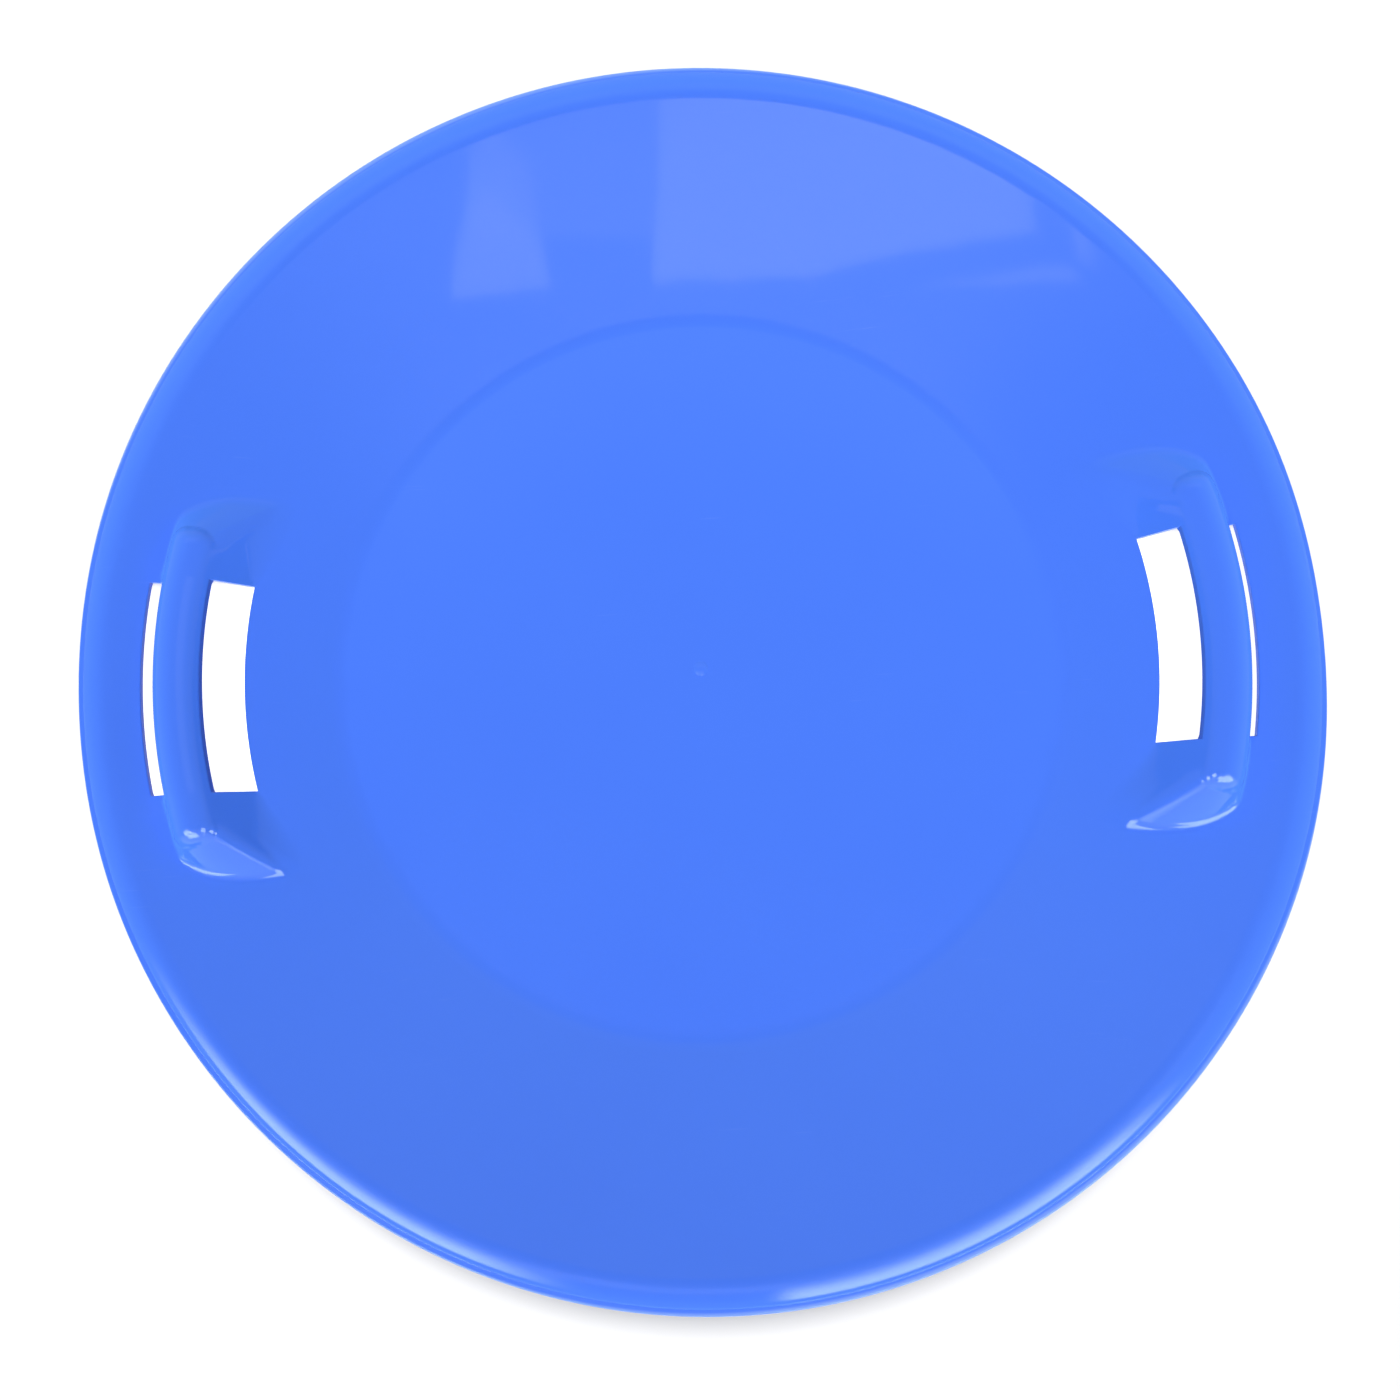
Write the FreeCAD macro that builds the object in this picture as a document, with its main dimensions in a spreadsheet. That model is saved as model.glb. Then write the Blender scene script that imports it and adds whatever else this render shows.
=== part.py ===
"""Saucer sled: a round dished snow saucer with a rolled rim and two moulded grips.

Millimetres, +Z up. The origin is the centre of the floor's underside, the grips lie on +X and -X.
The sled is one thin moulding, split at its own borders into solids that meet face to face.
"""
import FreeCAD
import Part
import Sketcher

import os

# Driving dimensions: alias, value, meaning.
DRIVING = [
    ("rim_radius", 325.0, "outer edge of the rim flange"),
    ("skin", 3.0, "thickness of the moulding everywhere"),
    ("band_width", 118.5, "plan width of the wall and the rim, from the floor's corner to the outer edge"),
    ("fold_radius", 12.0, "upper radius of the fold between floor and wall"),
    ("wall_angle", 27.7, "rise of the wall, degrees from level"),
    ("flange_width", 4.0, "level flange outside the rolled rim"),
    ("flange_fillet", 2.5, "hollow fillet between the roll and the flange"),
    ("roll_radius", 13.0, "upper radius of the rolled rim"),
    ("roll_angle", 50.0, "fall of the roll's outer side, degrees from level"),
    ("gate_radius", 4.0, "radius of the gate mark on the floor"),
    ("gate_height", 0.8, "height of the gate mark"),
    ("grip_setback", 13.5, "strip of wall between the rolled rim and a finger opening"),
    ("grip_rise", 20.1, "height of a grip's top above the wall at its centre line"),
    ("bar_width", 24.0, "width of a grip bar, whose top is a half round"),
    ("lip_drop", 1.5, "straight sides of a bar below its rounded top"),
    ("inner_slot", 13.5, "finger opening's width on the inner side of the bar"),
    ("outer_slot", 5.6, "finger opening's width on the outer side of the bar"),
    ("opening_length", 111.0, "straight length of the finger opening"),
    ("rib_draft", 2.0, "how far a shoulder's outer side spreads on its way down to the wall"),
    ("shoulder_reach", 17.0, "from the opening's end to the centre of a shoulder's rounded end"),
    ("end_radius", 18.5, "radius of the conical skirt round that end, at the height of its centre"),
    ("end_angle", 38.7, "slope of that skirt, degrees from level"),
]

# Derived dimensions: alias and formula.
DERIVED = [
    ("wall_slope", "tan(wall_angle * 1deg)"),
    ("wall_sine", "sin(wall_angle * 1deg)"),
    ("wall_cosine", "cos(wall_angle * 1deg)"),
    ("wall_depth", "skin / wall_cosine"),
    ("base_radius", "rim_radius - band_width"),
    ("disc_edge", "base_radius - fold_radius * tan(wall_angle * 0.5deg)"),
    ("fold_centre_z", "skin + fold_radius"),
    ("fold_outer_radius", "fold_radius + skin"),
    ("fold_top_r", "disc_edge + fold_radius * wall_sine"),
    ("fold_top_z", "fold_centre_z - fold_radius * wall_cosine"),
    ("fold_low_r", "disc_edge + fold_outer_radius * wall_sine"),
    ("fold_low_z", "fold_centre_z - fold_outer_radius * wall_cosine"),
    ("gate_top", "skin + gate_height"),
    ("gate_dome_radius", "(gate_radius ^ 2 + gate_height ^ 2) / (2 * gate_height)"),
    ("gate_dome_z", "gate_top - gate_dome_radius"),
    ("roll_sine", "sin(roll_angle * 1deg)"),
    ("roll_cosine", "cos(roll_angle * 1deg)"),
    ("fillet_r", "rim_radius - flange_width"),
    ("roll_r", "fillet_r - (roll_radius + flange_fillet) * roll_sine"),
    ("wall_end_radius", "roll_r - roll_radius * wall_sine"),
    ("wall_end_z", "skin + (wall_end_radius - base_radius) * wall_slope"),
    ("wall_end_low_r", "wall_end_radius + skin * wall_sine"),
    ("wall_end_low_z", "wall_end_z - skin * wall_cosine"),
    ("roll_z", "wall_end_z - roll_radius * wall_cosine"),
    ("roll_inner_radius", "roll_radius - skin"),
    ("roll_end_r", "roll_r + roll_radius * roll_sine"),
    ("roll_end_z", "roll_z + roll_radius * roll_cosine"),
    ("roll_end_low_r", "roll_r + roll_inner_radius * roll_sine"),
    ("roll_end_low_z", "roll_z + roll_inner_radius * roll_cosine"),
    ("fillet_z", "roll_z + (roll_radius + flange_fillet) * roll_cosine"),
    ("flange_top", "fillet_z - flange_fillet"),
    ("flange_low", "flange_top - skin"),
    ("edge_radius", "skin / 2"),
    ("edge_r", "rim_radius - edge_radius"),
    ("edge_z", "flange_top - edge_radius"),
    ("crown_radius", "bar_width / 2"),
    ("crown_inner_radius", "crown_radius - skin"),
    ("opening_outer_radius", "wall_end_radius - grip_setback"),
    ("bar_outer", "opening_outer_radius - outer_slot"),
    ("grip_radius", "bar_outer - crown_radius"),
    ("bar_inner", "grip_radius - crown_radius"),
    ("opening_inner_radius", "bar_inner - inner_slot"),
    ("opening_half_length", "opening_length / 2"),
    ("channel_inner", "bar_inner + skin"),
    ("channel_outer", "bar_outer - skin"),
    ("grip_top", "skin + (grip_radius - base_radius) * wall_slope + grip_rise"),
    ("channel_top", "grip_top - skin"),
    ("crown_z", "grip_top - crown_radius"),
    ("lip_z", "crown_z - lip_drop"),
    ("foot_inner_z", "skin + (opening_inner_radius - base_radius) * wall_slope"),
    ("foot_outer_r", "bar_outer + rib_draft"),
    ("foot_outer_z", "skin + (foot_outer_r - base_radius) * wall_slope"),
    ("inner_run", "grip_radius - opening_inner_radius"),
    ("outer_run", "foot_outer_r - grip_radius"),
    ("inner_rise", "crown_z - foot_inner_z"),
    ("outer_rise", "crown_z - foot_outer_z"),
    ("inner_reach", "sqrt(inner_run ^ 2 + inner_rise ^ 2)"),
    ("outer_reach", "sqrt(outer_run ^ 2 + outer_rise ^ 2)"),
    ("inner_flank", "atan(inner_rise / inner_run) + asin(crown_radius / inner_reach)"),
    ("outer_flank", "atan(outer_rise / outer_run) + asin(crown_radius / outer_reach)"),
    ("tool_margin", "2 * skin"),
    ("tool_low", "foot_inner_z - wall_depth - tool_margin"),
    ("tool_top", "grip_top + tool_margin"),
    ("skin_inner_r", "grip_radius - crown_radius * sin(inner_flank)"),
    ("skin_inner_z", "crown_z + crown_radius * cos(inner_flank)"),
    ("skin_outer_r", "grip_radius + crown_radius * sin(outer_flank)"),
    ("skin_outer_z", "crown_z + crown_radius * cos(outer_flank)"),
    ("skin_inner_low_r", "skin_inner_r - (skin_inner_z - tool_low) / tan(inner_flank)"),
    ("skin_outer_low_r", "skin_outer_r + (skin_outer_z - tool_low) / tan(outer_flank)"),
    ("hollow_inner_r", "grip_radius - crown_inner_radius * sin(inner_flank)"),
    ("hollow_inner_z", "crown_z + crown_inner_radius * cos(inner_flank)"),
    ("hollow_outer_r", "grip_radius + crown_inner_radius * sin(outer_flank)"),
    ("hollow_outer_z", "crown_z + crown_inner_radius * cos(outer_flank)"),
    ("hollow_inner_low_r", "hollow_inner_r - (hollow_inner_z - tool_low) / tan(inner_flank)"),
    ("hollow_outer_low_r", "hollow_outer_r + (hollow_outer_z - tool_low) / tan(outer_flank)"),
    ("end_axis_offset", "opening_half_length + shoulder_reach"),
    ("end_axis_r", "sqrt(grip_radius ^ 2 - end_axis_offset ^ 2)"),
    ("end_run", "1 / tan(end_angle * 1deg)"),
    ("end_inset", "skin / sin(end_angle * 1deg)"),
    ("skin_ball", "crown_radius - skin / 10"),
    ("skin_cone_top", "crown_z + 0.6 * skin_ball"),
    ("skin_low_radius", "end_radius + (crown_z - tool_low) * end_run"),
    ("skin_high_radius", "end_radius + (crown_z - skin_cone_top) * end_run"),
    ("hollow_ball", "skin_ball - skin"),
    ("hollow_cone_top", "crown_z + 0.6 * hollow_ball"),
    ("hollow_low_radius", "skin_low_radius - end_inset"),
    ("hollow_high_radius", "end_radius + (crown_z - hollow_cone_top) * end_run - end_inset"),
    ("under_inner_r", "opening_inner_radius - tool_margin / wall_slope"),
    ("under_outer_r", "skin_outer_low_r + tool_margin"),
    ("under_outer_z", "tool_low + (under_outer_r - under_inner_r) * wall_slope"),
]

# Number by which a sketch names the centre of an arc.
ARC_CENTRE = 3

# Two sketch points nearer than this are the same corner.
SAME_POINT = 0.001

SIDES = {"right": 1, "left": -1}
ENDS = {"front": 1, "rear": -1}

doc = FreeCAD.newDocument("saucer_sled")


def fill_sheet():
    """Put the driving numbers and the formulas that follow from them in one sheet."""
    sheet = doc.addObject("Spreadsheet::Sheet", "sizes")
    row = 1
    for alias, value, meaning in DRIVING:
        sheet.set(f"A{row}", meaning)
        sheet.set(f"B{row}", str(value))
        sheet.setAlias(f"B{row}", alias)
        row += 1
    for alias, formula in DERIVED:
        sheet.setAlias(f"B{row}", alias)
        sheet.set(f"B{row}", "=" + formula)
        row += 1
    doc.recompute()


def number(alias):
    """The value of a cell as a plain number."""
    return float(doc.sizes.get(alias))


def pin_point(sketch, geometry, end, axis, alias):
    """Hold one coordinate of a sketch point at a cell, or on the axis where alias is None."""
    if alias is None:
        line = -2 if axis == "DistanceX" else -1
        sketch.addConstraint(Sketcher.Constraint("PointOnObject", geometry, end, line))
        return
    held = Sketcher.Constraint(axis, -1, 1, geometry, end, number(alias))
    index = sketch.addConstraint(held)
    sketch.setExpression(f"Constraints[{index}]", f"sizes.{alias}")


def bend_between(start, finish, centre, crown):
    """Arc about a centre from start to finish, with its middle on the upper or lower side of the centre."""
    middle = (start - centre).normalize() + (finish - centre).normalize()
    middle.normalize()
    if (middle.y > 0) != crown:
        middle = -middle
    return Part.Arc(start, centre + middle * (start - centre).Length, finish)


def draw_outline(sketch, corners):
    """Closed outline. A corner is (r, z), and a third entry (r, z, crown) bends the edge after it."""
    def place(r, z):
        return FreeCAD.Vector(number(r) if r else 0, number(z) if z else 0, 0)

    def point_end(index, target):
        return 1 if sketch.getPoint(index, 1).isEqual(target, SAME_POINT) else 2

    count = len(corners)
    for index, corner in enumerate(corners):
        start = place(*corner[:2])
        finish = place(*corners[(index + 1) % count][:2])
        if len(corner) == 2:
            sketch.addGeometry(Part.LineSegment(start, finish))
            continue
        r, z, crown = corner[2]
        sketch.addGeometry(bend_between(start, finish, place(r, z), crown))

    for index, corner in enumerate(corners):
        target = place(*corner[:2])
        before = (index - 1) % count
        own = point_end(index, target)
        joined = Sketcher.Constraint("Coincident", before, point_end(before, target), index, own)
        sketch.addConstraint(joined)
        pin_point(sketch, index, own, "DistanceX", corner[0])
        pin_point(sketch, index, own, "DistanceY", corner[1])
    for index, corner in enumerate(corners):
        if len(corner) == 2:
            continue
        chord = sketch.getPoint(index, 2) - sketch.getPoint(index, 1)
        if abs(chord.x) > abs(chord.y):
            pin_point(sketch, index, ARC_CENTRE, "DistanceY", corner[2][1])
        else:
            pin_point(sketch, index, ARC_CENTRE, "DistanceX", corner[2][0])


def turned_body(name, corners):
    """Body made by turning an outline in the X-Z plane about the sled's axis."""
    body = doc.addObject("PartDesign::Body", name)
    sketch = body.newObject("Sketcher::SketchObject", name + "_outline")
    plane = next(item for item in body.Origin.OriginFeatures if item.Role == "XZ_Plane")
    sketch.AttachmentSupport = [(plane, "")]
    sketch.MapMode = "FlatFace"
    draw_outline(sketch, corners)
    turn = body.newObject("PartDesign::Revolution", name + "_turn")
    turn.Profile = sketch
    turn.ReferenceAxis = (sketch, ["V_Axis"])
    turn.Angle = 360
    return body


def base_disc():
    """Flat floor with the low dome of the gate mark."""
    return turned_body("base_disc", [
        (None, None),
        ("disc_edge", None),
        ("disc_edge", "skin"),
        ("gate_radius", "skin", (None, "gate_dome_z", True)),
        (None, "gate_top"),
    ])


def wall_band():
    """Fold and straight flared wall, before the grips' holes."""
    return turned_body("wall_band", [
        ("disc_edge", None, ("disc_edge", "fold_centre_z", False)),
        ("fold_low_r", "fold_low_z"),
        ("wall_end_low_r", "wall_end_low_z"),
        ("wall_end_radius", "wall_end_z"),
        ("fold_top_r", "fold_top_z", ("disc_edge", "fold_centre_z", False)),
        ("disc_edge", "skin"),
    ])


def rolled_rim():
    """Rolled edge, a hollow fillet and a thin round-edged flange, all one skin thick."""
    return turned_body("rolled_rim", [
        ("wall_end_low_r", "wall_end_low_z", ("roll_r", "roll_z", True)),
        ("roll_end_low_r", "roll_end_low_z", ("fillet_r", "fillet_z", False)),
        ("fillet_r", "flange_low"),
        ("edge_r", "flange_low", ("edge_r", "edge_z", False)),
        ("rim_radius", "edge_z", ("edge_r", "edge_z", True)),
        ("edge_r", "flange_top"),
        ("fillet_r", "flange_top", ("fillet_r", "fillet_z", False)),
        ("roll_end_r", "roll_end_z", ("roll_r", "roll_z", True)),
        ("wall_end_radius", "wall_end_z"),
    ])


def bar_ring():
    """Full ring of the grip bar's section, a round-topped channel open below."""
    return turned_body("bar_ring", [
        ("bar_inner", "lip_z"),
        ("bar_inner", "crown_z", ("grip_radius", "crown_z", True)),
        ("grip_radius", "grip_top", ("grip_radius", "crown_z", True)),
        ("bar_outer", "crown_z"),
        ("bar_outer", "lip_z"),
        ("channel_outer", "lip_z"),
        ("channel_outer", "crown_z", ("grip_radius", "crown_z", True)),
        ("grip_radius", "channel_top", ("grip_radius", "crown_z", True)),
        ("channel_inner", "crown_z"),
        ("channel_inner", "lip_z"),
    ])


def ridge_ring(name, surface):
    """Full ring of a shoulder's section: two flanks that meet the round top, carried down past the wall."""
    return turned_body(name, [
        (f"{surface}_inner_low_r", "tool_low"),
        (f"{surface}_inner_r", f"{surface}_inner_z", ("grip_radius", "crown_z", True)),
        (f"{surface}_outer_r", f"{surface}_outer_z"),
        (f"{surface}_outer_low_r", "tool_low"),
    ])


def opening_ring():
    """Full ring of the finger opening, straight through the wall."""
    return turned_body("opening_ring", [
        ("opening_inner_radius", "tool_low"),
        ("opening_outer_radius", "tool_low"),
        ("opening_outer_radius", "tool_top"),
        ("opening_inner_radius", "tool_top"),
    ])


def under_wall():
    """Everything below the wall's underside, to trim the shoulders' feet."""
    return turned_body("under_wall", [
        ("under_inner_r", "tool_low"),
        ("under_outer_r", "tool_low"),
        ("under_outer_r", "under_outer_z"),
    ])


def bind(item, **expressions):
    """Tie properties of an object to cells of the sheet."""
    for path, expression in expressions.items():
        item.setExpression(path.replace("_at_", ".Base."), expression)


def slab(name, side, low, high):
    """Block on one side of the sled, between two distances along the grip."""
    block = doc.addObject("Part::Box", name)
    bind(block, Length="sizes.rim_radius", Width=f"({high}) - ({low})",
         Height="sizes.tool_top - sizes.tool_low",
         Placement_at_x="0" if side > 0 else "-sizes.rim_radius", Placement_at_y=low,
         Placement_at_z="sizes.tool_low")
    return block


def end_cone(name, side, end, surface):
    """Conical skirt of a shoulder's end, up to where the rounded end hides it: its skin or its hollow."""
    cone = doc.addObject("Part::Cone", name)
    bind(cone, Radius1=f"sizes.{surface}_low_radius", Radius2=f"sizes.{surface}_high_radius",
         Height=f"sizes.{surface}_cone_top - sizes.tool_low", Placement_at_x=f"{side} * sizes.end_axis_r",
         Placement_at_y=f"{end} * sizes.end_axis_offset", Placement_at_z="sizes.tool_low")
    return cone


def end_ball(name, side, end, surface):
    """Rounded end of a grip, a ball set just inside the bar's round top: its skin or its hollow."""
    ball = doc.addObject("Part::Sphere", name)
    bind(ball, Radius=f"sizes.{surface}_ball", Placement_at_x=f"{side} * sizes.end_axis_r",
         Placement_at_y=f"{end} * sizes.end_axis_offset", Placement_at_z="sizes.crown_z")
    return ball


def combine(kind, name, first, second):
    """Boolean of two objects."""
    result = doc.addObject(kind, name)
    result.Base = first
    result.Tool = second
    return result


def grip_form(name, side, rings, surface):
    """Ridge of one whole grip: a ridge ring cut to length, with a skirted, rounded end at front and rear."""
    reach = doc.addObject("Part::MultiFuse", name + "_reach")
    run = slab(name + "_run", side, "-sizes.end_axis_offset", "sizes.end_axis_offset")
    cones = [end_cone(f"{name}_{label}_cone", side, end, surface) for label, end in ENDS.items()]
    reach.Shapes = [run] + cones
    ridge = combine("Part::Common", name + "_ridge", rings[surface], reach)
    form = doc.addObject("Part::MultiFuse", name)
    balls = [end_ball(f"{name}_{label}_ball", side, end, surface) for label, end in ENDS.items()]
    form.Shapes = [ridge] + balls
    return form


def shoulder(name, side, end, outer, inner, under):
    """Hollow shoulder: the grip past the finger opening, less its hollow, trimmed under the wall."""
    limits = ("sizes.opening_half_length", "sizes.rim_radius")
    if end < 0:
        limits = ("-sizes.rim_radius", "-sizes.opening_half_length")
    block = combine("Part::Common", name + "_block", outer, slab(name + "_reach", side, *limits))
    shell = combine("Part::Cut", name + "_shell", block, inner)
    return combine("Part::Cut", name, shell, under), block


def grip(side_name, rings, under):
    """One grip: its bar and two shoulders, and the forms that open the wall beneath them."""
    side = SIDES[side_name]
    span = slab(side_name + "_grip_span", side, "-sizes.opening_half_length", "sizes.opening_half_length")
    outer = grip_form(side_name + "_grip_skin", side, rings, "skin")
    inner = grip_form(side_name + "_grip_hollow", side, rings, "hollow")
    parts = [combine("Part::Common", side_name + "_grip_bar", rings["bar"], span)]
    holes = [combine("Part::Common", side_name + "_grip_opening", rings["opening"], span)]
    for end_name, end in ENDS.items():
        part, block = shoulder(f"{side_name}_{end_name}_shoulder", side, end, outer, inner, under)
        parts.append(part)
        holes.append(block)
    return parts, holes


def flared_wall(holes):
    """Wall with its holes: a finger opening under each bar, and the hollow under each shoulder."""
    cutter = doc.addObject("Part::MultiFuse", "grip_holes")
    cutter.Shapes = holes
    return combine("Part::Cut", "flared_wall", wall_band(), cutter)


def build():
    """Make every sub-part and return the objects to write."""
    fill_sheet()
    rings = {
        "skin": ridge_ring("ridge_skin", "skin"),
        "hollow": ridge_ring("ridge_hollow", "hollow"),
        "bar": bar_ring(),
        "opening": opening_ring(),
    }
    under = under_wall()
    parts = [base_disc(), rolled_rim()]
    holes = []
    for side_name in SIDES:
        grip_parts, grip_holes = grip(side_name, rings, under)
        parts += grip_parts
        holes += grip_holes
    parts.append(flared_wall(holes))
    for part in parts:
        part.Label = part.Name
        part.Placement = FreeCAD.Placement()
    doc.recompute()
    return parts


def check(parts):
    """Stop if any object failed, or a sub-part is not one valid solid."""
    for item in doc.Objects:
        if "Invalid" in item.State or "Error" in item.State:
            raise RuntimeError(f"{item.Name} failed to build: {item.State}")
    for part in parts:
        shape = part.Shape
        if shape.isNull() or not shape.isValid() or len(shape.Solids) != 1:
            raise RuntimeError(f"{part.Label} is not one valid solid")
        print(f"{part.Label}: {shape.Volume / 1000:.2f} cm3")


sub_parts = build()
check(sub_parts)
os.makedirs("parts", exist_ok=True)
for sub_part in sub_parts:
    sub_part.Shape.exportStep(f"parts/{sub_part.Label}.step")
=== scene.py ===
"""Saucer sled: a round blue plastic dish with two moulded grips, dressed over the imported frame.

The dish is one height over the ground plan. Its upper face and its underside are worked out on one
polar grid, and every piece is a block of that grid's cells, closed round its own border.
The moulding's lengths are in millimetres. Its meshes, its material and the studio are in metres.
"""

import math

import bpy
import numpy as np
from mathutils import Matrix


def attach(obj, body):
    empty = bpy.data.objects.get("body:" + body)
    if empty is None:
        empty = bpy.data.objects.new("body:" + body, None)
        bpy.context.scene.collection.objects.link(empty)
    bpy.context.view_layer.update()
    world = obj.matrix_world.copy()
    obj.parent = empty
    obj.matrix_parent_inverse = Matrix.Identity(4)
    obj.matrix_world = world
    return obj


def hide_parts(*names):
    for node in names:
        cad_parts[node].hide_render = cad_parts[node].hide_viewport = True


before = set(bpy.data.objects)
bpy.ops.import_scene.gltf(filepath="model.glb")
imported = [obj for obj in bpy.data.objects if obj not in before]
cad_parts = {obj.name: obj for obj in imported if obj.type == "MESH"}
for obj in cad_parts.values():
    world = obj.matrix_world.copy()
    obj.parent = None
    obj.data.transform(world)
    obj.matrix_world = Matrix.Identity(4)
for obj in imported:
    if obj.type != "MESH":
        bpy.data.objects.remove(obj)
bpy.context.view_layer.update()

MM = 0.001
TINY = 1e-9

# Section of the dish, from the middle outwards.
SKIN = 3.0
BASE_RADIUS = 203.0
FOLD_RADIUS = 22.0
WALL_ANGLE = math.radians(26.87)
WALL_SLOPE = math.tan(WALL_ANGLE)
DISC_EDGE = BASE_RADIUS - FOLD_RADIUS * math.tan(WALL_ANGLE / 2)
FOLD_END = DISC_EDGE + FOLD_RADIUS * math.sin(WALL_ANGLE)
FOLD_HEIGHT = SKIN + FOLD_RADIUS
ROLL_RADIUS = 13.0
ROLL_ANGLE = math.radians(50)
RIM_RADIUS = 325.0
FLANGE_WIDTH = 4.0
FLANGE_FILLET = 2.5
EDGE_RADIUS = SKIN / 2
EDGE_START = RIM_RADIUS - EDGE_RADIUS
FLANGE_START = RIM_RADIUS - FLANGE_WIDTH
ROLL_CENTRE = FLANGE_START - (ROLL_RADIUS + FLANGE_FILLET) * math.sin(ROLL_ANGLE)
WALL_END = ROLL_CENTRE - ROLL_RADIUS * math.sin(WALL_ANGLE)
ROLL_HEIGHT = SKIN + (WALL_END - BASE_RADIUS) * WALL_SLOPE - ROLL_RADIUS * math.cos(WALL_ANGLE)
FILLET_HEIGHT = ROLL_HEIGHT + (ROLL_RADIUS + FLANGE_FILLET) * math.cos(ROLL_ANGLE)
FLANGE_TOP = FILLET_HEIGHT - FLANGE_FILLET
EDGE_HEIGHT = FLANGE_TOP - EDGE_RADIUS

# Gate mark in the middle of the floor: a low cap of a sphere, and half the width of the rows at its edge.
GATE_RADIUS = 4.0
GATE_HEIGHT = 1.1
GATE_SPHERE = (GATE_RADIUS**2 + GATE_HEIGHT**2) / (2 * GATE_HEIGHT)
GATE_EDGE = 0.2

# Brim outside the roll's top: radius, and the fall of the upper face there in degrees.
BRIM_BEND = 312.5
BRIM_END = 321.2
BRIM_FALL = (
    (ROLL_CENTRE, 0),
    (BRIM_BEND, 8),
    (316.0, 15),
    (318.8, 21),
    (319.2, 62),
    (320.3, 62),
    (BRIM_END, 0),
)
BRIM_STEPS = 1200

# Set of the thin moulding: the rim stands closer in along one diagonal and beside the right and the
# left grip, and the outer slot's far edge has moved in on the right and out on the left.
OVAL = 2.6
OVAL_TURN = math.radians(27)
RIM_FLAT = (1.7, 0.8)
RIM_FLAT_HALF = 84.0
SLOT_SET = (1.3, -1.6)
SLOT_SET_END = 303.0
SLOT_SET_FADE = 14.0
SET_ROUNDS = 14

# Grips: a bar between two slots, carried by a shoulder with a skirted end at each side.
BAR_RADIUS = 271.983
BAR_HALF = 12.0
CROWN_HEIGHT = 45.479
LIP_HEIGHT = 43.979
INNER_SLOT = (246.483, BAR_RADIUS - BAR_HALF)
OUTER_SLOT = (BAR_RADIUS + BAR_HALF, 289.583)
SLOT_HALF = 55.5
SLOT_ROUNDING = 0.5
OUTER_FOOT = 285.983
END_REACH = 72.5
END_ANGLE = math.asin(END_REACH / BAR_RADIUS)
END_ACROSS = BAR_RADIUS * math.cos(END_ANGLE)
END_POWER = 2.5
CROWN_FALL = 8.0
SKIRT_RADIUS = 18.6
SKIRT_SLOPE = math.tan(math.radians(37.2))
FOOT_SPREAD = (7.6, 1.2)
SPREAD_END = 95.0

# Fillets and rounded crests of the grips, and the lengths past the slots in which they come in.
LEAST_BLEND = 0.02
FOOT_BLEND = 2.8
FLANK_BLEND = 9.0
FLANK_FADE = 25.0
FILLET_FADE = 4.0
HIP_BLEND = 4.5
TIP_BLEND = 1.2

# Ground plan of the grid.
GRIP_NEAR = 238.0
GRIP_FAR = 292.0
GRIP_BAND = (220.0, 295.0)
BAR_MARGIN = 1.0
SHOULDER_HALF = 107.0
SECTOR_HALF = 125.0
SECTOR_CELLS = 104
ROLL_ROWS = 10
GROOVE_ROWS = (318.4, 319.3, 320.1)
EDGE_CELLS = 10
GRADIENT_STEP = 0.01


def larger(a, b, blend):
    """The higher of two heights, with a round fillet where they come within blend of each other."""
    near = np.maximum(blend - np.abs(a - b), 0) / blend
    return np.maximum(a, b) + near**2 * blend / 4


def smaller(a, b, blend):
    """The lower of two heights, with a rounded crest where they come within blend of each other."""
    return -larger(-a, -b, blend)


def ramp(value, start, end):
    """0 before start, 1 after end, and a smooth S between."""
    share = np.clip((value - start) / (end - start), 0, 1)
    return share * share * (3 - 2 * share)


def arc_below(r, centre, height, radius):
    """Lower half of a circle: the height minus the root of radius² minus the offset²."""
    return height - np.sqrt(np.maximum(radius**2 - (r - centre) ** 2, 0))


def arc_above(r, centre, height, radius):
    """Upper half of a circle: the height plus the root of radius² minus the offset²."""
    return height + np.sqrt(np.maximum(radius**2 - (r - centre) ** 2, 0))


def brim_table():
    """Radii across the brim, and how far it has fallen there.

    The fall is the sum of the brim's slopes, scaled to end at the flange.
    """
    reach, fall = np.array(BRIM_FALL).T
    radii = np.linspace(reach[0], reach[-1], BRIM_STEPS)
    slope = np.tan(np.radians(np.interp(radii, reach, fall)))
    drop = np.append(0, np.cumsum((slope[1:] + slope[:-1]) / 2 * np.diff(radii)))
    return radii, drop / drop[-1] * (ROLL_HEIGHT + ROLL_RADIUS - FLANGE_TOP)


BRIM_RADII, BRIM_DROP = brim_table()


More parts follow.
